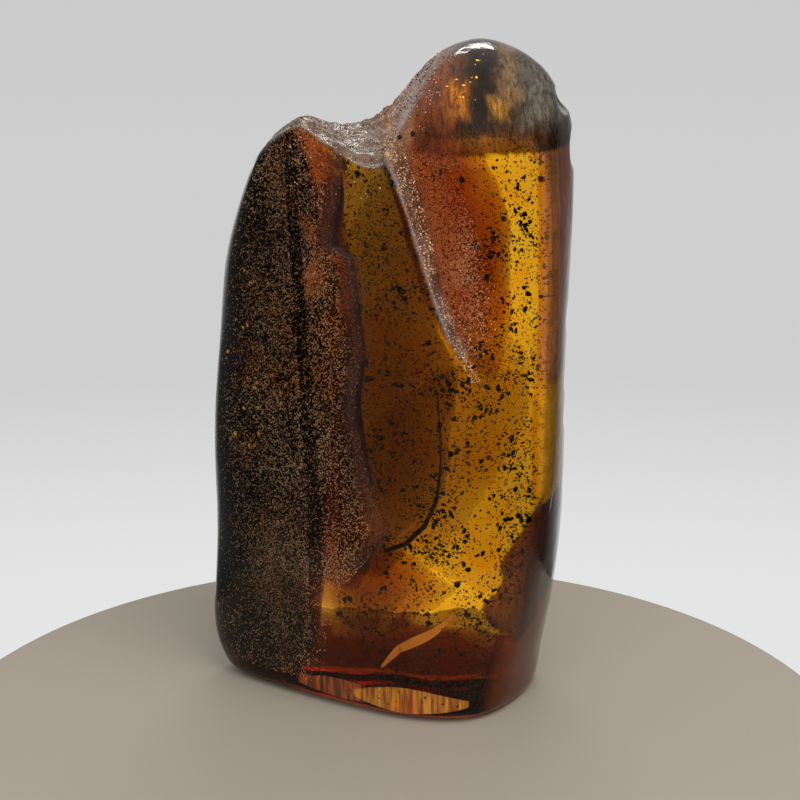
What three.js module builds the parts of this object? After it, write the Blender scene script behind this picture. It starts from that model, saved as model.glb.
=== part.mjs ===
// A raw amber piece, polished by hand on its broad faces and left with its own skin in the saddle at the top.
// It is one solid: an upright slab with a shoulder on the left, a rounded dome on the right, a saddle between
// them and a flat foot that it stands on.
//
// The solid is what an outline, extruded front to back, shares with a set of ground faces, with every edge
// rounded. A grid of cells is laid on that shape.
//
// Millimetres, +Z up. The origin is on the resting plane, under the middle of the piece. +X is to the right and
// -Y is the polished front.
import * as THREE from "three";
import { mergeVertices } from "three/addons/utils/BufferGeometryUtils.js";

// ---- Driving dimensions ----
const FOOT_EDGE = 1.8; // rounding where the sides meet the flat foot
const SIDE_EDGE = 6.5; // rounding of the left, right and top edges, worn round by polishing
const RIM_EDGE = 1.8; // rounding of the crisp rims along the saddle
const FACE_EDGE = 2.4; // rounding between two ground faces
const SADDLE_SLOPE = { left: -0.1, right: 0.2 }; // how far the saddle rises per millimetre towards the back
const CELLS = { across: 26, deep: 12, high: 46 }; // grid cells on each side of the piece
const SIDES = { left: -19, right: 21.5 }; // where the front and back cells give way to the side cells

// ---- Front outline, as points [x, z] joined by one smooth closed curve ----
const LEFT_FOOT = [[-21.5, -3], [-26, 0.6], [-28.5, 4.6], [-28.9, 9]];
const LEFT_SIDE = [[-27.4, 16], [-26.5, 24], [-26.4, 38], [-25, 52], [-23.5, 63]];
const SHOULDER = [[-20.7, 73], [-17.9, 79.6], [-14.3, 83.6], [-11.8, 84.9], [-9, 83.4], [-6, 81.8]];
const SADDLE = [[-3, 81.4], [0, 82.8], [2.4, 86]];
const DOME = [[5.2, 91], [8.6, 94.4], [12.6, 96], [17.2, 94.8], [21.3, 91.9], [24, 88.4], [24.9, 87]];
const RIGHT_SIDE = [[26.3, 85.6], [27, 82], [27.1, 74], [26.4, 62], [25.9, 50], [26.1, 38], [26.1, 27]];
const RIGHT_FOOT = [[25.3, 17], [23.5, 7], [20.6, -3]];
const OUTLINE_STEPS = 160;

// ---- Ground faces: each passes through a point and faces a way ----
// turn is degrees to the right of the front and lean is degrees above the horizon. A face bulges as a ball of its
// radius does, and a face with a radius below zero is a dish where a flake came away.
const FACES = [
  { name: "left lobe", at: [-13, -5.8, 42], turn: -33, lean: 1, radius: 320 },
  { name: "window", at: [0, -12.6, 46], turn: -18, lean: 1, radius: 700 },
  { name: "front right", at: [14, -13.6, 44], turn: 17, lean: 0, radius: 700 },
  { name: "right side", at: [25.6, -4, 50], turn: 64, lean: 0, radius: 500 },
  { name: "brow", at: [14, -12.6, 83], turn: 15, lean: 38, radius: 150 },
  { name: "foot front", at: [6, -13.6, 1], turn: -10, lean: -14, radius: 500 },
  { name: "lower right flake", at: [18.4, -11.6, 17], turn: 52, lean: -13, radius: -160 },
  { name: "back", at: [2, 18, 44], turn: 178, lean: 0, radius: 300 },
  { name: "back flake", at: [-5, 17, 60], turn: 172, lean: 7, radius: -110 },
  { name: "back left", at: [-18, 15.8, 42], turn: 212, lean: 0, radius: 420 },
  { name: "back right", at: [19, 13.4, 46], turn: 154, lean: 0, radius: 300 },
  { name: "back brow", at: [12, 12.6, 90], turn: 176, lean: 40, radius: 200 },
];

// ---- Valley: skin running down from the saddle beside the window, hollowed as by a round bar ----
const VALLEY = { from: [3.2, -17.4, 84], to: [10, -22.6, 52], radius: 7, edge: 3 };

const CENTRE = new THREE.Vector3(0, 0.5, 45); // every point of the surface is in sight of it
const UP = new THREE.Vector3(0, 0, 1);

// The larger of two distances, with the corner between them rounded off.
function smoothMax(a, b, edge) {
  const overlap = Math.max(edge - Math.abs(a - b), 0) / edge;
  return Math.max(a, b) + (overlap * overlap * edge) / 4;
}

function outlinePolygon() {
  const corners = [LEFT_FOOT, LEFT_SIDE, SHOULDER, SADDLE, DOME, RIGHT_SIDE, RIGHT_FOOT].flat();
  const points = corners.map(([x, z]) => new THREE.Vector3(x, 0, z));
  const curve = new THREE.CatmullRomCurve3(points, true, "centripetal");
  return curve.getPoints(OUTLINE_STEPS).slice(0, -1);
}

const outline = outlinePolygon();

// Distance in the XZ plane from the front outline, below zero inside it.
function outlineDistance(x, z) {
  let nearest = Infinity;
  let inside = false;
  outline.forEach((a, i) => {
    const b = outline[(i + 1) % outline.length];
    const alongX = b.x - a.x;
    const alongZ = b.z - a.z;
    const share = ((x - a.x) * alongX + (z - a.z) * alongZ) / (alongX * alongX + alongZ * alongZ);
    const t = THREE.MathUtils.clamp(share, 0, 1);
    nearest = Math.min(nearest, Math.hypot(x - a.x - t * alongX, z - a.z - t * alongZ));
    const crosses = a.z > z !== b.z > z;
    if (crosses && x < a.x + ((z - a.z) / alongZ) * alongX) inside = !inside;
  });
  return inside ? -nearest : nearest;
}

// How much a point belongs to the saddle: 1 over the left shoulder, fading out towards the dome and downwards.
function saddleShare(x, z) {
  const besideDome = 1 - THREE.MathUtils.smoothstep(x, -1, 11);
  return besideDome * THREE.MathUtils.smoothstep(z, 52, 78);
}

const faces = FACES.map(({ at, turn, lean, radius }) => {
  const azimuth = THREE.MathUtils.degToRad(turn);
  const rise = THREE.MathUtils.degToRad(lean);
  const level = Math.cos(rise);
  const normal = new THREE.Vector3(Math.sin(azimuth) * level, -Math.cos(azimuth) * level, Math.sin(rise));
  return { normal, at: new THREE.Vector3(...at), radius };
});

function faceDistance({ normal, at, radius }, point) {
  const offset = point.clone().sub(at);
  const out = offset.dot(normal);
  const sideways = offset.lengthSq() - out * out;
  return out + sideways / (2 * radius);
}

const valleyLine = new THREE.Line3(new THREE.Vector3(...VALLEY.from), new THREE.Vector3(...VALLEY.to));

function valleyDistance(point) {
  const nearest = valleyLine.closestPointToPoint(point, true, new THREE.Vector3());
  return VALLEY.radius - point.distanceTo(nearest);
}

// Each shape below is a function of a point that is below zero inside it and above zero outside it.
function groundShape(point) {
  return faces.map((face) => faceDistance(face, point)).reduce((a, b) => smoothMax(a, b, FACE_EDGE));
}

function outlineShape(point) {
  const across = THREE.MathUtils.smoothstep(point.x, -13, 2);
  const slope = THREE.MathUtils.lerp(SADDLE_SLOPE.left, SADDLE_SLOPE.right, across);
  return outlineDistance(point.x, point.z - slope * saddleShare(point.x, point.z) * point.y);
}

function amberShape(point) {
  const outlineEdge = THREE.MathUtils.lerp(SIDE_EDGE, RIM_EDGE, saddleShare(point.x, point.z));
  const polished = smoothMax(groundShape(point), outlineShape(point), outlineEdge);
  const hollowed = smoothMax(polished, valleyDistance(point), VALLEY.edge);
  return smoothMax(hollowed, -point.z, FOOT_EDGE);
}

// Where a straight way out of a shape, from a point inside it, leaves it.
function lastInside(shape, start, way, reach) {
  let inner = 0;
  let outer = reach;
  for (let i = 0; i < 24; i++) {
    const middle = (inner + outer) / 2;
    if (shape(start.clone().addScaledVector(way, middle)) < 0) inner = middle;
    else outer = middle;
  }
  return start.clone().addScaledVector(way, inner);
}

// The top rim at x on the front (side -1) or on the back (side 1), where the ground faces meet the outline.
function topRim(x, side) {
  const way = new THREE.Vector3(0, side, 0);
  const rim = new THREE.Vector3(x, side * 6, 0);
  for (let i = 0; i < 6; i++) {
    rim.z = lastInside(outlineShape, new THREE.Vector3(x, rim.y, CENTRE.z), UP, 60).z;
    rim.y = lastInside(groundShape, new THREE.Vector3(x, CENTRE.y, rim.z), way, 60).y;
  }
  return rim;
}

// A point of the front or back sheet below a rim, at a share of the way from the foot up to it.
function sheetPoint(rim, share, side) {
  const start = new THREE.Vector3(rim.x, CENTRE.y, rim.z * share);
  return lastInside(groundShape, start, new THREE.Vector3(0, side, 0), 60);
}

// Each cell is split along the diagonal that lies closer to the surface, so that no rim comes out as saw teeth.
function splitCells(grid) {
  const place = grid.getAttribute("position");
  const index = grid.getIndex();
  const corner = (i) => new THREE.Vector3().fromBufferAttribute(place, i);
  const gap = (i, j) => Math.abs(amberShape(corner(i).lerp(corner(j), 0.5)));
  for (let start = 0; start < index.count; start += 6) {
    const [a, b, d, , c] = index.array.slice(start, start + 6);
    if (gap(a, c) < gap(b, d)) index.array.set([a, b, c, a, c, d], start);
  }
}

// A box of grid cells, bent so that its edges follow the rims, then moved out along rays onto the surface.
function surfaceGrid() {
  const box = new THREE.BoxGeometry(2, 2, 2, CELLS.across, CELLS.deep, CELLS.high);
  box.deleteAttribute("normal");
  box.deleteAttribute("uv");
  const grid = mergeVertices(box, 1e-4);
  const place = grid.getAttribute("position");
  const rims = new Map();
  for (let i = 0; i < place.count; i++) {
    const column = place.getX(i).toFixed(4);
    const x = THREE.MathUtils.lerp(SIDES.left, SIDES.right, (place.getX(i) + 1) / 2);
    if (!rims.has(column)) rims.set(column, { front: topRim(x, -1), back: topRim(x, 1) });
    const { front, back } = rims.get(column);
    const up = (place.getZ(i) + 1) / 2;
    const behind = (place.getY(i) + 1) / 2;
    const ray = sheetPoint(front, up, -1).lerp(sheetPoint(back, up, 1), behind).sub(CENTRE);
    const found = lastInside(amberShape, CENTRE, ray, 1.6);
    place.setXYZ(i, found.x, found.y, Math.abs(found.z) < 1e-3 ? 0 : found.z);
  }
  splitCells(grid);
  grid.computeVertexNormals();
  return grid;
}

const polishedAmber = new THREE.MeshStandardMaterial({
  name: "polished amber",
  color: "#b4690e",
  roughness: 0.12,
  metalness: 0,
});

const piece = new THREE.Mesh(surfaceGrid(), polishedAmber);
piece.name = "amber";

const group = new THREE.Group();
group.add(piece);

export default group;
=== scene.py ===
import math

import bmesh
import bpy
import numpy as np
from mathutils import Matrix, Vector, noise
from mathutils.bvhtree import BVHTree


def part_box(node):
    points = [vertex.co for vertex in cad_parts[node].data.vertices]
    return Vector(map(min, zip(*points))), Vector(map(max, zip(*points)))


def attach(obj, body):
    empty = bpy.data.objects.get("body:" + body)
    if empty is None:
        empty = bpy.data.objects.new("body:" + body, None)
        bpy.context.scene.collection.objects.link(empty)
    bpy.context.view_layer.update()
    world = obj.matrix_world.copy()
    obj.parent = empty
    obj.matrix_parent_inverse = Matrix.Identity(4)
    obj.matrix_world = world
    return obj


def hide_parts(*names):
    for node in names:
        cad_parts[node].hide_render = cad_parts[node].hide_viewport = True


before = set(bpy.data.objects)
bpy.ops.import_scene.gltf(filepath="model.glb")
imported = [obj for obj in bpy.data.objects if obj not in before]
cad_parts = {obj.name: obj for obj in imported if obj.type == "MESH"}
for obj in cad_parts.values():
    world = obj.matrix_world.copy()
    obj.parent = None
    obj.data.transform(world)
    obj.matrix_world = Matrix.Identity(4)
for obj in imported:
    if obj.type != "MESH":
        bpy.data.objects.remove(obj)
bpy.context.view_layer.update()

# --------------------------------------------------------------------------------------------------------
# The amber itself: one lump of fossil resin, see-through and honey yellow, and redder where light goes a
# long way through it. It was ground by hand on its broad faces and polished, which rounded its edges. In
# the saddle and in the valley below it, where the wheel didn't reach, it keeps its own pitted skin.
# --------------------------------------------------------------------------------------------------------
MM = 0.001


def linear(hex_colour):
    """An sRGB hex colour as linear RGBA."""
    parts = [int(hex_colour[i : i + 2], 16) / 255 for i in (1, 3, 5)]
    return (*[c / 12.92 if c <= 0.04045 else ((c + 0.055) / 1.055) ** 2.4 for c in parts], 1.0)


def add_node(owner, kind, inputs=None, **settings):
    """Adds a node to a material or world. An input is given a value, or the socket to link it to."""
    node = owner.node_tree.nodes.new(kind)
    for name, value in settings.items():
        setattr(node, name, value)
    for name, value in (inputs or {}).items():
        if isinstance(value, bpy.types.NodeSocket):
            owner.node_tree.links.new(value, node.inputs[name])
        else:
            node.inputs[name].default_value = value
    return node


def new_material(name):
    material = bpy.data.materials.new(name)
    material.use_nodes = True
    material.node_tree.nodes.clear()
    return material


def smoothstep(low, high, value):
    t = np.clip((value - low) / (high - low), 0, 1)
    return t * t * (3 - 2 * t)


def grain(points, size, seed, octaves=3):
    """Smooth noise from about -1 to 1 at each point, with lumps of about the given size in millimetres."""
    shift = Vector((seed * 17.3, seed * 5.1, seed * 9.7))
    return np.array([noise.fractal(Vector(p) / size + shift, 0.9, 2.0, octaves) for p in points])


def line_at(z, line):
    """How far right a line on the front is at each height. The line is a list of (height, x) points."""
    heights, places = zip(*line)
    return np.interp(z, heights, places)


def add_piece(name, mesh, material):
    """Puts a mesh into the scene as a piece of the object."""
    piece = bpy.data.objects.new(name, mesh)
    bpy.context.scene.collection.objects.link(piece)
    mesh.materials.clear()
    mesh.materials.append(material)
    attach(piece, "root")
    return piece


def points_of(mesh):
    """A mesh's points in millimetres."""
    flat = np.zeros(len(mesh.vertices) * 3, np.float32)
    mesh.vertices.foreach_get("co", flat)
    return flat.reshape(-1, 3).astype(float) / MM


def normals_of(mesh):
    flat = np.zeros(len(mesh.vertices) * 3, np.float32)
    mesh.vertex_normals.foreach_get("vector", flat)
    return flat.reshape(-1, 3).astype(float)


def set_points(mesh, points):
    mesh.vertices.foreach_set("co", (points * MM).astype(np.float32).ravel())
    mesh.update()


def chip(points, centre, radius, depth=1.0):
    """Takes away what a ball covers, as where a small flake came off. Depth is how many times deeper than
    wide the ball is."""
    shape = np.array([1, depth, 1])
    away = (points - np.array(centre, float)) / shape
    distance = np.linalg.norm(away, axis=1)
    inside = distance < radius
    points[inside] = np.array(centre, float) + away[inside] / distance[inside, None] * radius * shape


def facing(turn, lean):
    """The direction turned to the right of the front and leaning above the horizon, in degrees."""
    turn, lean = math.radians(turn), math.radians(lean)
    return np.array([math.sin(turn) * math.cos(lean), -math.cos(turn) * math.cos(lean), math.sin(lean)])


def grind(points, at, normal):
    """Flattens what stands proud of a plane."""
    proud = (points - np.array(at, float)) @ normal
    points -= np.clip(proud, 0, None)[:, None] * normal


def face_gap(points, at, normal, radius):
    """How far outside a ground face each point is. The face bulges as a ball of the radius does."""
    offset = points - np.array(at, float)
    out = offset @ normal
    return out + ((offset**2).sum(axis=1) - out**2) / (2 * radius)


# The solid's cells are subdivided twice, to about half a millimetre.
shape = bmesh.new()
shape.from_mesh(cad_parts["amber"].data)
bmesh.ops.remove_doubles(shape, verts=shape.verts, dist=0.001 * MM)
bmesh.ops.join_triangles(
    shape, faces=shape.faces, angle_face_threshold=math.radians(60), angle_shape_threshold=math.radians(80)
)
cage = bpy.data.meshes.new("cage")
shape.to_mesh(cage)
shape.free()
caged = bpy.data.objects.new("cage", cage)
bpy.context.scene.collection.objects.link(caged)
rounding = caged.modifiers.new("rounding", "SUBSURF")
rounding.levels = 2
resin = bpy.data.meshes.new_from_object(caged.evaluated_get(bpy.context.evaluated_depsgraph_get()))
bpy.data.objects.remove(caged)
resin.name = "resin"
for face in resin.polygons:
    face.use_smooth = True

points = points_of(resin)
# Subdividing drew the sides in by a quarter of a millimetre, so the width is put back, to just under the
# solid's own.
JUST_UNDER = 0.9995
left, right = (corner[0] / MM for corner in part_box("amber"))
middle = (left + right) / 2
points[:, 0] = middle + (points[:, 0] - middle) * (right - left) / np.ptp(points[:, 0]) * JUST_UNDER

# Crisp edges that the wheel left round the clear face on the right
grind(points, (14, -12.2, 83), facing(16, 38))
to_front, front_way = face_gap(points, (14, -13.6, 44), facing(17, 0), 700), facing(17, 0)
to_side, side_way = face_gap(points, (25.6, -4, 50), facing(64, 0), 500), facing(64, 0)
gap = np.clip(-np.maximum(to_front, to_side), 0, 0.7) * (points[:, 1] < 0)
gap *= np.abs(to_front - to_side) < 2.4
gap *= smoothstep(30, 34, points[:, 2]) * (1 - smoothstep(81, 83, points[:, 2]))
points += gap[:, None] * np.where((to_front > to_side)[:, None], front_way, side_way)

# Flakes gone from the right edge, and the notch under the dome's right shoulder
RIGHT_FLAKES = [
    ((31.0, 2, 80.5), 6), ((30.7, 2, 56), 5.6), ((30.4, 2, 47), 5.3), ((30.6, 2, 41.5), 5.5),
    ((30.6, 2, 31), 5.3), ((25.5, 0, 87.7), 2.7),
]
for centre, radius in RIGHT_FLAKES:
    chip(points, centre, radius, 3)
# Shallow flakes along the dome's top
for centre, radius in [((9.2, -4, 101.6), 8.4), ((16.4, -5, 102.6), 8.6), ((22.6, -7, 97), 7)]:
    chip(points, centre, radius)

normals = normals_of(resin)
x, y, z = points.T
front = smoothstep(0.2, 0.6, -normals[:, 1])
ragged = grain(points, 5, 1)

# The lobe's edge stands over the window in two steps, and the valley's rim runs down to the right.
CREST = [
    (0, -10), (10, -9), (18, -7), (24, -3), (28.8, -0.5), (33, -1.3), (38, -3), (43, -4.1), (47.4, -4.5),
    (51, -3.8), (54.6, -3.4), (60, -4), (66.4, -4.6), (67.4, -5.6), (68.2, -7.6), (70.6, -7.4), (74, -6.4),
    (78, -6.1), (84, -6.1),
]
VALLEY_RIM = [
    (50, 11.6), (53.8, 10), (57.4, 7.9), (63.2, 5.8), (69.6, 3.8), (76, 1.7), (81.3, -0.4), (84, -1.6),
]
GROOVE = [(30, -10.3), (54, -11.7), (77, -13.2)]
past_crest = x - line_at(z, CREST)
past_rim = x - line_at(z, VALLEY_RIM)
in_window = front * smoothstep(20, 27, z) * (1 - smoothstep(-0.6, 0.3, past_rim) * smoothstep(50, 56, z))
recess = 0.55 * smoothstep(-0.5, 0.5, past_crest) * (1 - smoothstep(3, 14, past_crest)) * in_window


def ridge(gap, width):
    """1 on a line, where the gap to it is 0, and falling off smoothly over the width on both sides."""
    return np.exp(-((gap / width) ** 2))


roll = 0.1 * ridge(past_crest + 1.4, 1.1) * front * smoothstep(22, 30, z) * (1 - smoothstep(78, 82, z))
groove = 0.16 * ridge(x - line_at(z, GROOVE), 0.9) * front
groove = groove * smoothstep(28, 40, z) * (1 - smoothstep(74, 80, z))
trough = 0.4 * ridge(past_rim - 1.3, 0.8) * front * smoothstep(52, 62, z) * (1 - smoothstep(80, 84, z))
# The saddle's front rim: pushed out to a crisper edge, and painted pale below, partly as a painted highlight
corner = np.clip(1 - np.abs(normals[:, 2] - 0.5) / 0.35, 0, 1)
corner = corner * smoothstep(76, 79, z) * (1 - smoothstep(2, 6, x)) * (y < 2)
lip = 0.45 * ridge(past_rim + 0.1 + 0.5 * ragged, 0.55) * smoothstep(0, 3, 83 - z)
lip += 0.6 * ridge(past_rim - 2.4 + 0.8 * ragged, 0.6) * smoothstep(0, 5, 71 - z)
lip *= front * smoothstep(52, 56, z)
swell = np.clip(0.25 * grain(points, 14, 2, 2) * front, -0.25, 0.1)
points += normals * (roll + lip + 0.4 * corner - recess - groove - trough + swell)[:, None]

# The skin: how much each point belongs to the saddle, the valley and the dome's left flank, from 0 to 1.
on_top = smoothstep(0.35, 0.8, normals[:, 2]) * (1 - smoothstep(3, 8, x + ragged * 1.6))
on_top *= smoothstep(72, 79, z)
flank = smoothstep(0.15, 0.6, -normals[:, 0]) * smoothstep(78, 84, z) * smoothstep(-3, 1, x) * (x < 14)
valley = front * (
    smoothstep(-0.2, 0.4, past_rim)
    * (1 - smoothstep(0.4, 1.3, past_rim / (1.6 + (z - 52) * 0.07) + ragged * 0.25))
    * smoothstep(53, 57, z + ragged)
)
seam = front * ridge(past_crest + 0.7 + ragged * 0.4, 0.9) * smoothstep(22, 30, z)

# The scar of a flake at the lower right, frosted between two lines
SCAR_LEFT = [
    (11, 19), (12, 18.2), (14, 16.8), (15.4, 14.6), (17.9, 13.5), (20.2, 15.7), (22, 16.6), (24.1, 16),
    (26.1, 17.1), (28.4, 18.8), (32.1, 21), (34.5, 22.4), (36, 26),
]
SCAR_RIGHT = [(11, 17), (12, 18.5), (14, 20.1), (17.7, 21.6), (20, 22.6), (24, 27)]
scar = (
    smoothstep(-0.3, 0.3, x - line_at(z, SCAR_LEFT))
    * smoothstep(-0.8, 0.8, line_at(z, SCAR_RIGHT) - x)
    * smoothstep(11, 13, z)
    * (1 - smoothstep(34, 36, z))
    * smoothstep(0.1, 0.3, normals @ facing(50, -10))
)

# The back is raw on its left half and a little along its foot.
back = smoothstep(0.2, 0.6, normals[:, 1])
raw_back = back * (1 - smoothstep(-13, -5, x + ragged * 5))
low_back = back * (1 - smoothstep(3, 8, z + ragged * 3)) * (1 - smoothstep(9, 13, x + ragged * 2))

# A thin brown film of old skin on the right side, which also rounds off the clear face's top corner
top_corner = smoothstep(0, 0.8, (x - 19.6) + 0.9 * (z - 80.9)) * (x > 16)
top_corner *= smoothstep(0.2, 0.5, normals @ facing(40, 10))
film = np.maximum(smoothstep(0.86, 0.93, normals @ facing(62, 0)), top_corner)
film_low = film * smoothstep(33, 35, z) * (1 - smoothstep(48, 52, z + ragged))
film *= smoothstep(47, 53, z + ragged) * (1 - smoothstep(86, 89, z)) * (0.8 + 0.3 * ragged)
outer_edge = smoothstep(0.93, 0.98, normals @ facing(86, 4))
outer_edge = outer_edge * smoothstep(50, 60, z) * (1 - smoothstep(83, 85, z))
low_flank = smoothstep(0.75, 0.92, normals @ facing(68, -6)) * (1 - smoothstep(14, 19, z)) * (1 - scar)
# The dome's front is smoked: it holds fine cracks and dirt right up to a crisp edge above the clear face.
smoked = smoothstep(81.8, 82.4, z + 0.1 * ragged)
smoked = smoked * smoothstep(3, 8, x) * smoothstep(-0.2, 0.2, -normals[:, 1])
skin = np.maximum.reduce([
    on_top * 0.8, flank * 0.6, valley * (0.4 + 0.4 * ragged), raw_back, low_back * 0.35, seam * 0.1,
    scar * 0.6, film * 0.5, film_low * 0.5, low_flank * 0.5, smoked * 0.5,
])
skin = np.clip(skin, 0, 1)

# Pits and wrinkles in the skin, cut inwards only. The wrinkles run along the saddle and down the valley.
pits = np.clip(grain(points, 1.8, 3, 2), 0, 1) * 0.6 + np.clip(grain(points, 0.8, 4, 2), 0, 1) * 0.3
raw = np.maximum.reduce([on_top, flank, valley, raw_back])
along_saddle = np.abs(grain(points * (0.3, 1, 1), 2.2, 7, 2))
down_valley = np.abs(grain(points * (1, 1, 0.3), 1.8, 8, 2))
wrinkles = on_top * np.clip(along_saddle * 2.5, 0, 1) + valley * np.clip(down_valley * 2.5, 0, 1)
points -= normals * (raw * pits * 0.4 + wrinkles * 0.5)[:, None]
# Nothing bulges past the solid's sides.
SPARE = 0.02
points[:, 0] = np.clip(points[:, 0], left + SPARE, right - SPARE)
set_points(resin, points)


def store(mesh, name, values):
    """Keeps a number or a colour for each point of a mesh."""
    if values.ndim == 1:
        mesh.attributes.new(name, "FLOAT", "POINT").data.foreach_set("value", values.astype(np.float32))
    else:
        colours = np.concatenate([values, np.ones((len(values), 1))], axis=1).astype(np.float32)
        mesh.attributes.new(name, "FLOAT_COLOR", "POINT").data.foreach_set("color", colours.ravel())


def stained(tint, colour, amount):
    """A tint for each point with a colour mixed in."""
    return tint * (1 - amount[:, None]) + np.array(linear(colour)[:3]) * amount[:, None]


neighbours = np.array([edge.vertices[:] for edge in resin.edges]).T


def widened(mask):
    """A mask grown by one point all round and made solid, so that no pale resin shows along its edge."""
    grown = mask.copy()
    for one, other in (neighbours, neighbours[::-1]):
        np.maximum.at(grown, one, mask[other])
    return np.clip(grown * 8, 0, 1)


# The resin just under the surface has gone red where air reached it, and brown where it is raw.
blotch = grain(points, 7, 5)
red = smoothstep(0, 2, past_rim) * (1 - smoothstep(8, 14.5, x + blotch * 4))
red *= smoothstep(46, 62, z + blotch * 6)
tint = np.ones((len(points), 3))
tint = stained(tint, "#ffc880", np.clip(0.3 + blotch, 0, 1) * 0.8)
tint = stained(tint, "#cc7e50", np.clip(red * front, 0, 1))
tint = stained(tint, "#8c5840", np.clip(seam * 4, 0, 1) * 0.9)
tint = stained(tint, "#8a3a14", widened(low_flank))
tint = stained(tint, "#4a2820", widened(scar))
tint = stained(tint, "#bc7850", widened(film))
above_film = widened(film) * smoothstep(48, 52, z)
tint = stained(tint, "#d89a2c", widened(film_low) * (1 - above_film))
tint = stained(tint, "#a05e24", widened(low_back))
tint = stained(tint, "#c0581c", outer_edge)
tint = stained(tint, "#4a3020", widened(raw_back))
tint = stained(tint, "#7d6656", on_top)
tint = stained(tint, "#7a4632", valley * 0.9)
# The saddle's front rim is pale: scuffed skin, and a painted highlight where the rim catches the light
tint = stained(tint, "#b09a8a", np.clip(corner, 0, 1) * 0.7)
tint = stained(tint, "#c48860", np.clip(flank, 0, 1) * 0.8)

# The dome is dark olive with smoke, redder on the left, with a tan streak and dark spots. The grey patch
# on its right is a painted sheen, its two gold spots are a painted glow, and the darker band along its
# lower edge is painted shade.
frayed = grain(points, 1.8, 6, 2)


def patch(centre, width, height, soft=0.5):
    """1 in an upright patch of the front around a point (x, z), falling to 0 past its wavering edge."""
    across = np.abs(x - centre[0] + 0.5 * ragged + 0.7 * frayed) - width / 2
    along = np.abs(z - centre[1] + 0.5 * ragged - 0.7 * frayed) - height / 2
    return 1 - smoothstep(-soft, soft, np.maximum(across, along))


dome_tint = stained(np.ones((len(points), 3)), "#35240c", np.ones(len(points)))
dome_tint = stained(dome_tint, "#96502c", 1 - smoothstep(6.5, 11, x + ragged + frayed))
dome_tint = stained(dome_tint, "#a8845a", patch((16.4, 91.5), 2.4, 7, 1.6) * 0.9)
# A painted sheen: a soft grey patch on the right, where the dome's front would mirror the light
dome_tint = stained(dome_tint, "#8e8476", patch((21.6, 89), 6, 8, 2.5) * 0.9)
# Painted shade: a darker band along the dome's lower edge, by the crease above the clear face
dome_tint = stained(dome_tint, "#5a3416", patch((12.5, 83.4), 16, 2.4, 1.2) * 0.8)
dome_tint = stained(dome_tint, "#120c07", patch((13.0, 89), 2.2, 7, 1.2) * 0.8)
dome_tint = stained(dome_tint, "#120c07", patch((12.2, 85.4), 3, 2, 1) * 0.8)
# A painted glow: two gold spots, where light would shine through the dome
dome_tint = stained(dome_tint, "#e88a18", patch((9.3, 88.2), 2.2, 3.4, 1.3) * (0.9 + 0.4 * frayed))
dome_tint = stained(dome_tint, "#d8962a", patch((15.0, 87.2), 1.8, 1.8, 1.2) * (0.9 + 0.4 * frayed))
dome_tint = np.clip(dome_tint, 0, 1)
painted = widened(smoked)[:, None]
tint = tint * (1 - painted) + dome_tint * painted
store(resin, "tint", tint)
store(resin, "skin", skin)
streaky = np.maximum.reduce([smoked, 0.5 * np.clip(film, 0, 1), 0.5 * scar])
store(resin, "smoked", streaky)

# How dull the polish is: the dome's front was only rubbed, so it has a soft sheen.
rubbed = smoothstep(82, 83, z) * smoothstep(6, 12, x) * smoothstep(0.1, 0.4, -normals[:, 1])
dull = 0.03 + 0.2 * np.maximum.reduce([on_top, flank, raw_back]) + 0.09 * valley
dull = dull + 0.03 * np.maximum(film, scar) + 0.07 * rubbed
store(resin, "dull", np.clip(dull, 0.03, 1))

# Polished fossil resin: clear and glossy, with the slight waves of hand polishing, and dull brown where it
# is raw. Its pits are about a millimetre across, and the smoke's streaks 0.6 mm wide and 3 mm long.
polished_amber = new_material("polished_amber")
tint_at = add_node(polished_amber, "ShaderNodeAttribute", attribute_name="tint")
skin_at = add_node(polished_amber, "ShaderNodeAttribute", attribute_name="skin")
coordinates = add_node(polished_amber, "ShaderNodeTexCoord")
pitting = add_node(
    polished_amber, "ShaderNodeTexNoise",
    {"Vector": coordinates.outputs["Object"], "Scale": 1 / (1.4 * MM), "Detail": 5.0, "Roughness": 0.7},
)
crust = add_node(
    polished_amber, "ShaderNodeMapRange",
    {"Value": pitting.outputs["Fac"], "From Min": 0.35, "From Max": 0.68, "To Min": 0.35, "To Max": 1.35},
)
mottle = add_node(
    polished_amber, "ShaderNodeMapRange",
    {"Value": skin_at.outputs["Fac"], "To Min": 1.0, "To Max": crust.outputs["Result"]},
)
upright = add_node(
    polished_amber, "ShaderNodeMapping",
    {"Vector": coordinates.outputs["Object"], "Scale": (1 / (0.6 * MM), 1 / (2 * MM), 1 / (3 * MM))},
)
streaks = add_node(
    polished_amber, "ShaderNodeTexNoise",
    {
        "Vector": upright.outputs["Vector"],
        "Scale": 1.0,
        "Detail": 6.0,
        "Roughness": 0.75,
        "Distortion": 0.6,
    },
)
strong = add_node(
    polished_amber, "ShaderNodeMapRange",
    {"Value": streaks.outputs["Fac"], "From Min": 0.36, "From Max": 0.62, "To Min": 0.2, "To Max": 1.7},
)
smoked_at = add_node(polished_amber, "ShaderNodeAttribute", attribute_name="smoked")
streaked = add_node(
    polished_amber, "ShaderNodeMapRange",
    {
        "Value": smoked_at.outputs["Fac"],
        "To Min": mottle.outputs["Result"],
        "To Max": strong.outputs["Result"],
    },
)
colour = add_node(
    polished_amber, "ShaderNodeVectorMath",
    {"Vector": tint_at.outputs["Color"], "Scale": streaked.outputs["Result"]},
    operation="SCALE",
)
dull_at = add_node(polished_amber, "ShaderNodeAttribute", attribute_name="dull")
clearness = add_node(
    polished_amber, "ShaderNodeMapRange",
    {"Value": skin_at.outputs["Fac"], "To Min": 1.0, "To Max": 0.3},
)
waves = add_node(
    polished_amber, "ShaderNodeTexNoise",
    {"Vector": coordinates.outputs["Object"], "Scale": 1 / (7 * MM), "Detail": 2.0},
)
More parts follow.
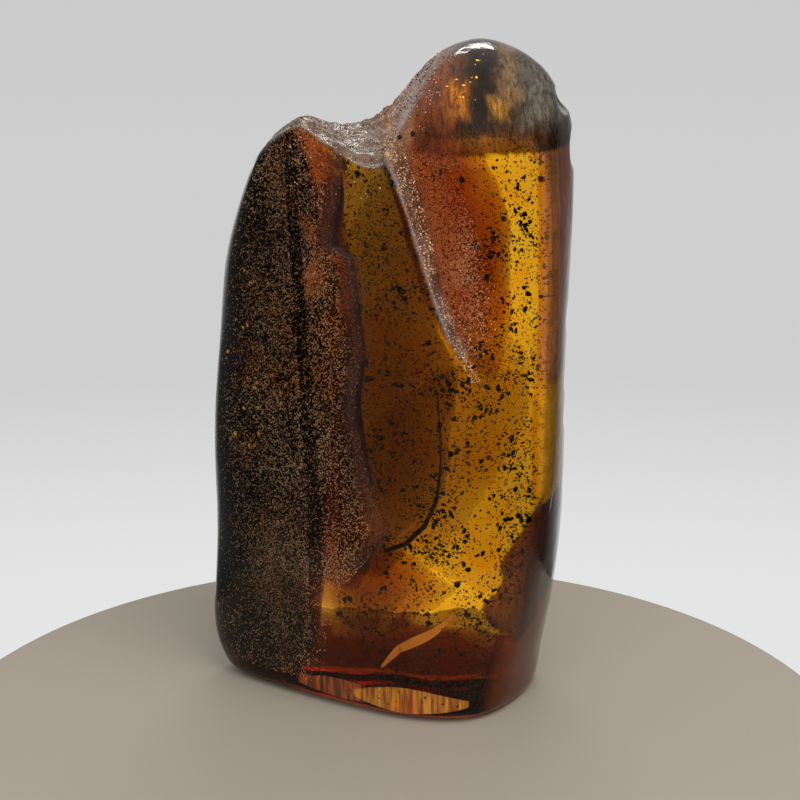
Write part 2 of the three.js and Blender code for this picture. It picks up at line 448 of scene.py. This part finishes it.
pit_bump = add_node(
    polished_amber, "ShaderNodeBump",
    {"Strength": skin_at.outputs["Fac"], "Distance": 0.07 * MM, "Height": pitting.outputs["Fac"]},
)
wave_bump = add_node(
    polished_amber, "ShaderNodeBump",
    {
        "Strength": 0.3,
        "Distance": 0.4 * MM,
        "Height": waves.outputs["Fac"],
        "Normal": pit_bump.outputs["Normal"],
    },
)
surface = add_node(
    polished_amber, "ShaderNodeBsdfPrincipled",
    {
        "Base Color": colour.outputs["Vector"],
        "Roughness": dull_at.outputs["Fac"],
        "IOR": 1.54,
        "Specular Tint": (0.45, 0.4, 0.35, 1),
        "Transmission Weight": clearness.outputs["Result"],
        "Normal": wave_bump.outputs["Normal"],
    },
)
# The deeper light goes, the less blue it keeps and then the less green: yellow when thin, orange when thick.
depth_colour = add_node(
    polished_amber, "ShaderNodeVolumeAbsorption", {"Color": (0.984, 0.85, 0.18, 1), "Density": 190}
)
add_node(
    polished_amber, "ShaderNodeOutputMaterial",
    {"Surface": surface.outputs["BSDF"], "Volume": depth_colour.outputs["Volume"]},
)

amber = add_piece("amber_resin", resin, polished_amber)
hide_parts("amber")

# --------------------------------------------------------------------------------------------------------
# Clouds sealed in the resin: places where it set full of dust too fine to see, which let less light through.
# The left lobe is nearly black with it. Thinner veils hang behind the window and in the dome and the foot.
# The dark cloud low in the foot is painted shade, which stands for shaded ground seen through the foot.
# --------------------------------------------------------------------------------------------------------
# However near the wall is, a cloud reaches this far from its centre, in millimetres.
LEAST_REACH = 0.2
resin_faces = [tuple(face.vertices) for face in resin.polygons]
resin_tree = BVHTree.FromPolygons([tuple(point) for point in points], resin_faces)


def add_cloud(name, material, centre, sizes, margin, lumps, seed, boxy=3, slant=0.0):
    """A lumpy closed shape as wide, deep and high as sizes, kept a margin inside the resin. It slants to the
    right by that much for each millimetre up. It is an ellipsoid if boxy is 2, squarer if it is more and
    thin at its edges if it is less."""
    ball = bmesh.new()
    bmesh.ops.create_icosphere(ball, subdivisions=5, radius=1)
    ways = np.array([vertex.co[:] for vertex in ball.verts])
    radii = 1 / np.linalg.norm(ways / (np.array(sizes) / 2), ord=boxy, axis=1)
    reach = ways * radii[:, None]
    reach *= 1 + lumps * grain(np.array(centre) + reach, max(sizes) / 6, seed)[:, None]
    reach[:, 0] += reach[:, 2] * slant
    for vertex, way in zip(ball.verts, reach):
        way = Vector(way)
        wall = resin_tree.ray_cast(Vector(centre), way)[3]
        vertex.co = (Vector(centre) + way * min(1, max(wall - margin, LEAST_REACH) / way.length)) * MM
    mesh = bpy.data.meshes.new(name)
    ball.to_mesh(mesh)
    ball.free()
    add_piece(name, mesh, material)


def smoke(name, red, green, blue):
    """A cloud that bends no light and soaks up the given shares of it per millimetre."""
    material = new_material(name)
    densest = max(red, green, blue)
    no_surface = add_node(
        material, "ShaderNodeBsdfPrincipled", {"IOR": 1.0, "Roughness": 0.0, "Transmission Weight": 1.0}
    )
    thick = add_node(
        material, "ShaderNodeVolumeAbsorption",
        {"Color": (1 - red / densest, 1 - green / densest, 1 - blue / densest, 1), "Density": densest / MM},
    )
    add_node(
        material, "ShaderNodeOutputMaterial",
        {"Surface": no_surface.outputs["BSDF"], "Volume": thick.outputs["Volume"]},
    )
    return material


# The lobe and its crest
add_cloud("lobe_cloud", smoke("lobe_smoke", 0.30, 0.45, 0.6), (-16.5, 1, 43), (17, 28, 88), 1.4, 0.08, 1)
crest_smoke = smoke("crest_smoke", 0.11, 0.22, 0.3)
add_cloud("crest_cloud", crest_smoke, (-9.0, -1, 51), (11.5, 18, 66), 1.2, 0.1, 2, 3.5, -0.09)

# Veils behind the window and the faces beside it
window_smoke = smoke("window_smoke", 0.095, 0.113, 0.09)
add_cloud("window_veil", window_smoke, (-0.5, 1, 53), (20, 14, 68), 3, 0.05, 3, 2.3)
side_smoke = smoke("side_smoke", 0.03, 0.052, 0.045)
add_cloud("side_veil", side_smoke, (3, 2, 46), (30, 18, 80), 3, 0.12, 6, 1.25, 0.1)
red_smoke = smoke("red_smoke", 0.04, 0.12, 0.14)
add_cloud("red_veil", red_smoke, (9.2, -3, 71), (12.5, 18, 42), 1.4, 0.1, 12, 1.5, -0.2)
add_cloud("edge_veil", smoke("edge_smoke", 0.25, 0.4, 0.7), (24.4, 0, 69), (5, 16, 34), 0.6, 0.05, 7)
add_cloud("scar_veil", smoke("scar_smoke", 0.12, 0.2, 0.3), (21.5, -1, 15), (7, 20, 26), 1.0, 0.08, 8)

# The dome
DOME_CLOUDS = [
    ((13, -5, 88.2), (30, 16, 10.5), 4),
    ((8, 2, 90), (10, 18, 7), 2),
    ((19.5, 2, 90), (8, 18, 7), 2),
]
dome_smoke = smoke("dome_smoke", 0.17, 0.24, 0.34)
for i, (centre, sizes, boxy) in enumerate(DOME_CLOUDS):
    add_cloud(f"dome_cloud_{i + 1}", dome_smoke, centre, sizes, 0.7, 0.08, 20 + i, boxy)

# The foot
# Painted shade: the foot's dark cloud stands for shaded ground showing through the foot
foot_shade = smoke("foot_shade", 0.034, 0.082, 0.26)
add_cloud("foot_shade_cloud", foot_shade, (-1.5, 2, 5), (36, 26, 12), 1.0, 0.16, 5, 2.6)
low_smoke = smoke("low_smoke", 0.022, 0.026, 0.008)
add_cloud("low_veil", low_smoke, (12, 2, 34), (34, 16, 34), 2.0, 0.1, 10, 1.25)
sill_smoke = smoke("sill_smoke", 0.06, 0.105, 0.08)
add_cloud("sill_veil", sill_smoke, (-1, -1, 18), (20, 18, 17), 1.0, 0.1, 9, 1.25)

# --------------------------------------------------------------------------------------------------------
# Dust: pale grains of soil and wood meal sealed close under the surface, thickest in the left lobe. Real
# ones are a tenth of a millimetre. These are drawn about twice that size so that they show.
# --------------------------------------------------------------------------------------------------------
random = np.random.default_rng(11)
# Rays that look for the surface start well in front of the piece or above it, in millimetres.
IN_FRONT = -40
ABOVE = 100
# Dust inside the resin lies at least this deep, in millimetres.
SHALLOWEST = 0.2


def places_under(count, region, depth, chance):
    """Random places a range of depths under the resin's front. chance(x, z) says how likely each is kept."""
    left, right, low, high = region
    found = []
    while len(found) < count:
        x, z, kept, deep = random.uniform(size=4)
        x, z = left + (right - left) * x, low + (high - low) * z
        if kept > chance(x, z):
            continue
        entry = resin_tree.ray_cast(Vector((x, IN_FRONT, z)), Vector((0, 1, 0)))[0]
        if entry is None:
            continue
        place = Vector((x, entry.y + depth[0] + (depth[1] - depth[0]) * deep**1.5, z))
        wall, outward, _, gap = resin_tree.find_nearest(place)
        if gap > SHALLOWEST and (place - wall).dot(outward) < 0:
            found.append(place[:])
    return np.array(found)


TETRAHEDRON = (
    np.array([(1, 1, 1), (1, -1, -1), (-1, 1, -1), (-1, -1, 1)]) / 3**0.5,
    np.array([(0, 2, 1), (0, 1, 3), (0, 3, 2), (1, 2, 3)])[:, ::-1],
)


def add_crumbs(name, places, sizes, material, solid=TETRAHEDRON, thinnest=0.35, jitter=0.3):
    """One piece of separate bits at the places, each turned, stretched and bent at random."""
    corners, faces = solid
    count = len(places)
    turns = np.linalg.qr(random.normal(size=(count, 3, 3)))[0]
    turns *= np.sign(np.linalg.det(turns))[:, None, None]
    stretch = random.uniform(thinnest, 1, size=(count, 1, 3))
    bits = corners * (1 + random.uniform(-jitter, jitter, size=(count, len(corners), 1))) * stretch
    bits = bits @ turns * (np.asarray(sizes) / 2).reshape(-1, 1, 1) + places[:, None, :]
    every = (faces[None] + (np.arange(count) * len(corners))[:, None, None]).reshape(-1, 3)
    mesh = bpy.data.meshes.new(name)
    mesh.from_pydata((bits.reshape(-1, 3) * MM).tolist(), [], every.tolist())
    add_piece(name, mesh, material)


def plain(name, colour, roughness):
    """A solid, unpolished stuff of one colour."""
    material = new_material(name)
    stuff = add_node(
        material, "ShaderNodeBsdfPrincipled", {"Base Color": linear(colour), "Roughness": roughness}
    )
    add_node(material, "ShaderNodeOutputMaterial", {"Surface": stuff.outputs["BSDF"]})
    return material


def in_lobe(x, z):
    edge = line_at(z, CREST)
    # Fewer grains fall in the groove, so it shows darker: painted shade along the groove
    in_groove = abs(x - line_at(z, GROOVE)) < 0.9
    mottled = 0.65 + 0.5 * noise.noise(Vector((x / 4, 0, z / 9)))
    thin = min(1, 0.3 + z / 22)
    thin *= min(1, 0.5 + 0.3 * max(0, edge - x))
    return (x < edge) * mottled * thin * (0.4 if in_groove else 1) * min(1, (x + 26.5) / 7)


def in_inner_lobe(x, z):
    return in_lobe(x, z) * min(1, max(0, (x + 19) / 7))


def in_outer_lobe(x, z):
    return in_lobe(x, z) * min(1, max(0, (-9 - x) / 7))


# Wood meal: warm tan specks that catch the light
tan_dust = plain("tan_dust", "#e8bc90", 0.7)
places = places_under(14000, (-20, -1, 3, 84), (0.2, 1.2), in_inner_lobe)
sizes = random.uniform(0.16, 0.42, len(places))
add_crumbs("lobe_dust", places, sizes, tan_dust)

# Soil: duller grey-brown specks
grey_dust = plain("grey_dust", "#cfa888", 0.7)
places = places_under(12000, (-26, -8, 3, 84), (0.2, 1.2), in_outer_lobe)
sizes = random.uniform(0.16, 0.4, len(places))
add_crumbs("outer_dust", places, sizes, grey_dust)


def in_red_zone(x, z):
    past = x - line_at(z, VALLEY_RIM)
    in_height = min(1, max(0, (z - 54) / 14))
    return (past > 0) * max(0, 1 - past / 9) * in_height * min(1, max(0, (15 - x) / 4))


# Pale meal that looks rosy through the reddened resin
rosy_dust = plain("rosy_dust", "#ffdcb8", 0.7)
places = places_under(14000, (-2, 15, 50, 93), (0.12, 0.6), in_red_zone)
sizes = random.uniform(0.2, 0.42, len(places))
add_crumbs("shoulder_dust", places, sizes, rosy_dust)


def in_valley(x, z):
    past = x - line_at(z, VALLEY_RIM)
    wide = 1.4 + (z - 52) * 0.05
    return (0.1 < past < wide) * (0.6 + 0.8 * noise.noise(Vector((x / 1.5, 2, z / 3))))


# Grains on the skin of the valley, and then on the saddle, where some are dark dirt
DIRT_SHARE = 0.4
places = []
while len(places) < 2600:
    x, z = random.uniform(-3, 13), random.uniform(51, 84)
    wall, outward = resin_tree.ray_cast(Vector((x, IN_FRONT, z)), Vector((0, 1, 0)))[:2]
    if wall is not None and random.uniform() < in_valley(x, z):
        places.append((wall + outward * random.uniform(-0.15, 0.03))[:])
places = np.array(places)
sizes = random.uniform(0.16, 0.38, len(places))
add_crumbs("valley_dust", places, sizes, tan_dust)

places = []
while len(places) < 7000:
    x, y = random.uniform(-14, 8), random.uniform(-10, 14)
    roof, outward = resin_tree.ray_cast(Vector((x, y, ABOVE)), Vector((0, 0, -1)))[:2]
    if roof is not None and roof.z > 74 and random.uniform() < 1.1 - (x > 4) * (x - 4) / 4:
        places.append((roof - outward * random.uniform(-0.03, 0.2))[:])
places = np.array(places)
sizes = random.uniform(0.18, 0.45, len(places))
dark = random.uniform(size=len(places)) < DIRT_SHARE
add_crumbs("saddle_dust", places[~dark], sizes[~dark], grey_dust)
add_crumbs("saddle_dirt", places[dark], sizes[dark] * 1.1, plain("saddle_dirt", "#2c1a10", 0.8))


def in_rust(x, z):
    past = x - line_at(z, VALLEY_RIM)
    return (past > 0) * max(0, 1 - past / 14) * min(1, max(0, (z - 44) / 20))


# Reddened meal, deeper in the dome's shoulder
rust_dust = plain("rust_dust", "#a04e24", 0.7)
places = places_under(9000, (-2, 20, 44, 93), (0.3, 3), in_rust)
sizes = random.uniform(0.12, 0.34, len(places))
add_crumbs("rust_dust", places, sizes, rust_dust)


def in_ember(x, z):
    heat = noise.noise(Vector((x / 3.5, 5, z / 6))) + 0.1
    return max(0, heat * 2.5) * (x < line_at(z, CREST) - 1) * min(1, (z - 56) / 12) * min(1, (x + 14) / 2)


# Meal that glows orange where light gets in at the lobe's top
ember = plain("ember_dust", "#ec8230", 0.6)
places = places_under(3500, (-14, -5, 56, 84), (0.4, 1.6), in_ember)
sizes = random.uniform(0.2, 0.5, len(places))
add_crumbs("ember_dust", places, sizes, ember)

# --------------------------------------------------------------------------------------------------------
# Plant debris: scraps of bark, leaf and insect frass, nearly black, hanging in the clear resin. Most are
# specks, and a few are a millimetre long and lie in clumps. The dome holds grit and meal under its polish.
# --------------------------------------------------------------------------------------------------------
golden = (1 + 5**0.5) / 2
ICOSAHEDRON = (
    np.array(
        [
            (-1, golden, 0), (1, golden, 0), (-1, -golden, 0), (1, -golden, 0),
            (0, -1, golden), (0, 1, golden), (0, -1, -golden), (0, 1, -golden),
            (golden, 0, -1), (golden, 0, 1), (-golden, 0, -1), (-golden, 0, 1),
        ]
    ) / (1 + golden**2) ** 0.5,
    np.array(
        [
            (0, 11, 5), (0, 5, 1), (0, 1, 7), (0, 7, 10), (0, 10, 11),
            (1, 5, 9), (5, 11, 4), (11, 10, 2), (10, 7, 6), (7, 1, 8),
            (3, 9, 4), (3, 4, 2), (3, 2, 6), (3, 6, 8), (3, 8, 9),
            (4, 9, 5), (2, 4, 11), (6, 2, 10), (8, 6, 7), (9, 8, 1),
        ]
    ),
)


def in_clear(x, z):
    right_of_lobe = x > line_at(z, CREST) - 1
    return right_of_lobe * (0.55 + 0.6 * noise.noise(Vector((x / 5 + 3, 0, z / 6))))


# Rotted bark: almost black, with hardly a sheen
bark = plain("bark_debris", "#120a06", 0.6)
places = places_under(13000, (-7, 23, 2, 83), (0.3, 5), in_clear)
sizes = 0.22 + 0.6 * random.uniform(size=len(places)) ** 3
add_crumbs("fine_debris", places, sizes, bark, jitter=0.4)
# Frass: chewed wood, dark red-brown
frass = plain("brown_debris", "#4a1e0a", 0.6)
places = places_under(7000, (-7, 23, 2, 83), (0.3, 4), in_clear)
sizes = 0.2 + 0.4 * random.uniform(size=len(places)) ** 2
add_crumbs("brown_debris", places, sizes, frass, jitter=0.4)
seeds = places_under(640, (-7, 22, 3, 82), (0.6, 3.2), in_clear)
clumps = np.repeat(seeds, random.integers(1, 5, len(seeds)), axis=0)
clumps = clumps + random.normal(scale=0.3, size=clumps.shape)
clump_sizes = 0.35 + 0.8 * random.uniform(size=len(clumps)) ** 2
inside = [resin_tree.find_nearest(Vector(place))[3] > 0.6 for place in clumps]
add_crumbs("bark_debris", clumps[inside], clump_sizes[inside], bark, ICOSAHEDRON, jitter=0.35)

# Three nearly black crumbs set in the saddle's surface make its three dark pits
holes = np.array([(3.5, -9.3, 83.8), (1.75, -8.3, 83.25), (-6.3, -4, 80.2)])
add_crumbs("saddle_holes", holes, [1.2, 1.0, 0.8], bark, ICOSAHEDRON, 0.8, 0.1)


def in_dome_grit(x, z):
    return 0.5 + 0.8 * noise.noise(Vector((x / 2, 4, z / 3)))


def in_dome_dust(x, z):
    return 0.4 + 0.9 * noise.noise(Vector((x / 2, 9, z / 4)))


places = places_under(2600, (4, 25, 83.6, 95), (0.0, 0.5), in_dome_grit)
sizes = 0.18 + 0.5 * random.uniform(size=len(places)) ** 2
add_crumbs("dome_grit", places, sizes, bark, jitter=0.4)
places = places_under(1500, (4, 22, 84, 95), (0.0, 0.4), in_dome_dust)
sizes = 0.18 + 0.3 * random.uniform(size=len(places)) ** 2
add_crumbs("dome_dust", places, sizes, tan_dust, jitter=0.4)

# --------------------------------------------------------------------------------------------------------
# Cracks inside: a curved leaf of a crack behind the window, a glowing streak and a fan of hair cracks at the
# foot, and small round stress cracks that shine gold. They formed as the resin dried and was pressed.
# --------------------------------------------------------------------------------------------------------
SHEET_STEPS = 40


def front_y(x, z):
    return resin_tree.ray_cast(Vector((x, IN_FRONT, z)), Vector((0, 1, 0)))[0].y


def add_sheet(name, path, near, far, thickness, material):
    """A thin closed sheet that runs inwards from under the front, along a path of (x, z) points."""
    path = np.array(path, float)
    steps = np.linspace(0, len(path) - 1, SHEET_STEPS)
    path_x = np.interp(steps, range(len(path)), path[:, 0])
    path_z = np.interp(steps, range(len(path)), path[:, 1])
    last = SHEET_STEPS - 1
    corners, faces = [], []
    for i, (x, z) in enumerate(zip(path_x, path_z)):
        along = Vector((np.gradient(path_x)[i], 0, np.gradient(path_z)[i])).normalized()
        taper = 0.25 + 0.75 * math.sin(math.pi * i / last)
        across = Vector((along.z, 0, -along.x)) * thickness * taper
        for deep, side in ((near, -1), (near, 1), (far, 1), (far, -1)):
            corners.append((Vector((x, front_y(x, z) + deep, z)) + across * side) * MM)
    for i in range(last):
        for k in range(4):
            faces.append((4 * i + k, 4 * i + (k + 1) % 4, 4 * i + 4 + (k + 1) % 4, 4 * i + 4 + k))
    faces += [(3, 2, 1, 0), tuple(range(4 * last, 4 * last + 4))]
    mesh = bpy.data.meshes.new(name)
    mesh.from_pydata(corners, [], faces)
    add_piece(name, mesh, material)


# A crack seen edge-on turns light away, so it looks like a dark line.
crack_shadow = plain("crack_shadow", "#1d0f06", 0.3)
leaf_path = [(6.9, 49), (7.3, 44), (7.4, 39), (6.9, 34), (5.4, 30), (2.8, 27), (-0.3, 25.4)]
add_sheet("leaf_crack", leaf_path, 0.8, 3, 0.11, crack_shadow)

# A crack seen flat-on throws light back, and looks orange through the resin over it.
gleam_path = [(4.6, 31.6), (3.6, 29.9), (2.4, 28.6), (1.2, 27.7)]
add_sheet("leaf_gleam", gleam_path, 1.2, 1.4, 0.3, plain("dim_crack", "#a8601c", 0.4))
streak_path = [(9, 17), (6.6, 14.6), (4.2, 13), (1.6, 11.2), (-0.8, 8)]
add_sheet("foot_streak", streak_path, 0.6, 0.9, 0.7, plain("glowing_crack", "#e08a22", 0.4))


def hair_cracks(name, dark, bright):
    """Fine upright cracks between two colours. Real ones are finer: the streaks are about 0.5 mm wide."""
    material = new_material(name)
    across = add_node(material, "ShaderNodeTexCoord")
    narrow = add_node(
        material, "ShaderNodeMapping",
        {"Vector": across.outputs["Object"], "Scale": (1 / (0.45 * MM), 0, 1 / (6 * MM))},
    )
    hairs = add_node(
        material, "ShaderNodeTexNoise", {"Vector": narrow.outputs["Vector"], "Scale": 1.0, "Detail": 4.0}
    )
    shine = add_node(material, "ShaderNodeValToRGB", {"Fac": hairs.outputs["Fac"]})
    shine.color_ramp.elements[0].position = 0.38
    shine.color_ramp.elements[0].color = linear(dark)
    shine.color_ramp.elements[1].position = 0.62
    shine.color_ramp.elements[1].color = linear(bright)
    gleam = add_node(
        material, "ShaderNodeBsdfPrincipled", {"Base Color": shine.outputs["Color"], "Roughness": 0.4}
    )
    add_node(material, "ShaderNodeOutputMaterial", {"Surface": gleam.outputs["BSDF"]})
    return material


# The fan of cracks along the foot's front edge is red on the left and gold on the right.
red_path = [(-13, 2.6), (-9, 3.0), (-4, 3.0), (0, 2.8)]
red_hairs = hair_cracks("red_hair_cracks", "#40160a", "#c8641c")
add_sheet("foot_fan_left", red_path, 0.9, 1.1, 1.5, red_hairs)
fan_path = [(-5, 2.9), (0, 3.1), (5, 3.2), (11.4, 3.0)]
gold_hairs = hair_cracks("gold_hair_cracks", "#9a4a08", "#f2ac28")
add_sheet("foot_fan", fan_path, 0.5, 0.8, 2.0, gold_hairs)


def anywhere(x, z):
    return 1


# Round stress cracks, which shine like flakes of gold leaf
gold = plain("gold_flakes", "#f5b63a", 0.35)
places = places_under(70, (-23.5, -18, 34, 83), (0.3, 0.7), anywhere)
glints = places_under(90, (6.5, 13, 88, 94), (0.15, 0.6), anywhere)
places = np.concatenate([places, glints])
sizes = 0.3 + 0.7 * random.uniform(size=len(places)) ** 2
add_crumbs("gold_flakes", places, sizes, gold, ICOSAHEDRON, 0.3)

# --------------------------------------------------------------------------------------------------------
# The studio: a round slab of cast plaster to stand on, an even backdrop, soft boxes above, in front and
# behind, a strip for the glints, and the camera. None of it is part of the object.
# --------------------------------------------------------------------------------------------------------
slab_mesh = bpy.data.meshes.new("slab")
# A disc 132 mm across and 12 mm thick, with its top at the height of the resting plane
SLAB_RADIUS = 66 * MM
SLAB_THICKNESS = 12 * MM
shape = bmesh.new()
bmesh.ops.create_cone(
    shape, cap_ends=True, segments=128, radius1=SLAB_RADIUS, radius2=SLAB_RADIUS, depth=SLAB_THICKNESS
)
bmesh.ops.translate(shape, verts=shape.verts, vec=(0, -15 * MM, -SLAB_THICKNESS / 2))
shape.to_mesh(slab_mesh)
shape.free()
slab = bpy.data.objects.new("slab", slab_mesh)
bpy.context.scene.collection.objects.link(slab)
slab_edge = slab.modifiers.new("edge", "BEVEL")
slab_edge.width = 1.5 * MM
slab_edge.segments = 4
# Cast plaster: pale warm grey and matt
slab_mesh.materials.append(plain("pale_plaster", "#91887b", 0.8))

studio = bpy.data.worlds.new("studio")
bpy.context.scene.world = studio
studio.use_nodes = True
studio.node_tree.nodes.clear()
way = add_node(studio, "ShaderNodeTexCoord")
split = add_node(studio, "ShaderNodeSeparateXYZ", {"Vector": way.outputs["Generated"]})
rise = add_node(
    studio, "ShaderNodeMapRange", {"Value": split.outputs["Z"], "From Min": -1.0, "From Max": 1.0}
)
height = add_node(studio, "ShaderNodeValToRGB", {"Fac": rise.outputs["Result"]})
ramp = height.color_ramp
ramp.elements[0].position = 0.0
ramp.elements[0].color = (0.6, 0.6, 0.6, 1)
ramp.elements[1].position = 1.0
ramp.elements[1].color = (1.1, 1.1, 1.1, 1)
for position, grey in [(0.3, 0.8), (0.33, 0.76), (0.37, 0.62), (0.43, 0.62), (0.48, 0.59), (0.6, 0.65)]:
    ramp.elements.new(position).color = (grey, grey, grey, 1)

# It is bright behind the piece and overhead, and flagged off on the right so that the side stays brown.
behind = add_node(
    studio, "ShaderNodeMapRange",
    {"Value": split.outputs["Y"], "From Min": 0.62, "From Max": 0.92, "To Min": 0.2, "To Max": 1.0},
    interpolation_type="SMOOTHSTEP",
)
above = add_node(
    studio, "ShaderNodeMapRange",
    {"Value": split.outputs["Z"], "From Min": 0.3, "From Max": 0.95, "To Min": 0.0, "To Max": 0.6},
    interpolation_type="SMOOTHSTEP",
)
flag = add_node(
    studio, "ShaderNodeMapRange",
    {"Value": split.outputs["X"], "From Min": 0.22, "From Max": 0.45, "To Min": 1.0, "To Max": 0.25},
    interpolation_type="SMOOTHSTEP",
)
shaded = add_node(
    studio, "ShaderNodeMath", {0: behind.outputs["Result"], 1: flag.outputs["Result"]}, operation="MULTIPLY"
)
level = add_node(
    studio, "ShaderNodeMath", {0: shaded.outputs["Value"], 1: above.outputs["Result"]}, operation="ADD"
)
backdrop = add_node(
    studio, "ShaderNodeBackground", {"Color": height.outputs["Color"], "Strength": level.outputs["Value"]}
)
add_node(studio, "ShaderNodeOutputWorld", {"Surface": backdrop.outputs["Background"]})


def add_lamp(name, place, aim, size, watts):
    """A soft box, placed and aimed in millimetres. The camera doesn't see it."""
    lamp = bpy.data.objects.new(name, bpy.data.lights.new(name, "AREA"))
    bpy.context.scene.collection.objects.link(lamp)
    lamp.data.size = size * MM
    lamp.data.energy = watts
    lamp.location = Vector(place) * MM
    lamp.rotation_euler = (Vector(place) - Vector(aim)).to_track_quat("Z", "Y").to_euler()
    lamp.visible_camera = False
    return lamp


# The overhead lamp and the fill light the dust without showing in the polish. The strip is the one that
# makes the white glints along the top.
overhead = add_lamp("overhead", (150, -190, 360), (0, 0, 60), 300, 1.4)
overhead.visible_glossy = False
fill = add_lamp("fill", (-120, -380, 180), (0, 0, 50), 350, 1.2)
fill.visible_glossy = False
strip = add_lamp("strip", (20, 240, 330), (0, 0, 80), 160, 0.25)
strip.data.shape = "RECTANGLE"
strip.data.size_y = 12 * MM
strip.visible_transmission = False
backlight = add_lamp("backlight", (0, 420, -60), (0, 0, 50), 500, 0.1)
backlight.visible_glossy = False

camera = bpy.data.objects.new("camera", bpy.data.cameras.new("camera"))
bpy.context.scene.collection.objects.link(camera)
camera.data.lens = 85
camera.data.clip_start = 0.01
camera.data.clip_end = 10
ELEVATION = math.radians(16)
DISTANCE = 270
aim = Vector((1.7, 0, 44.5)) * MM
away = Vector((0, -math.cos(ELEVATION), math.sin(ELEVATION)))
camera.location = aim + away * DISTANCE * MM
camera.rotation_euler = away.to_track_quat("Z", "Y").to_euler()
bpy.context.scene.camera = camera

# Light crosses many clouds on its way through the resin, so it is given many turns.
scene = bpy.context.scene
scene.view_settings.view_transform = "Standard"
scene.cycles.use_denoising = True
scene.cycles.max_bounces = 16
scene.cycles.transmission_bounces = 16
scene.cycles.transparent_max_bounces = 24
scene.cycles.glossy_bounces = 6
scene.cycles.diffuse_bounces = 3
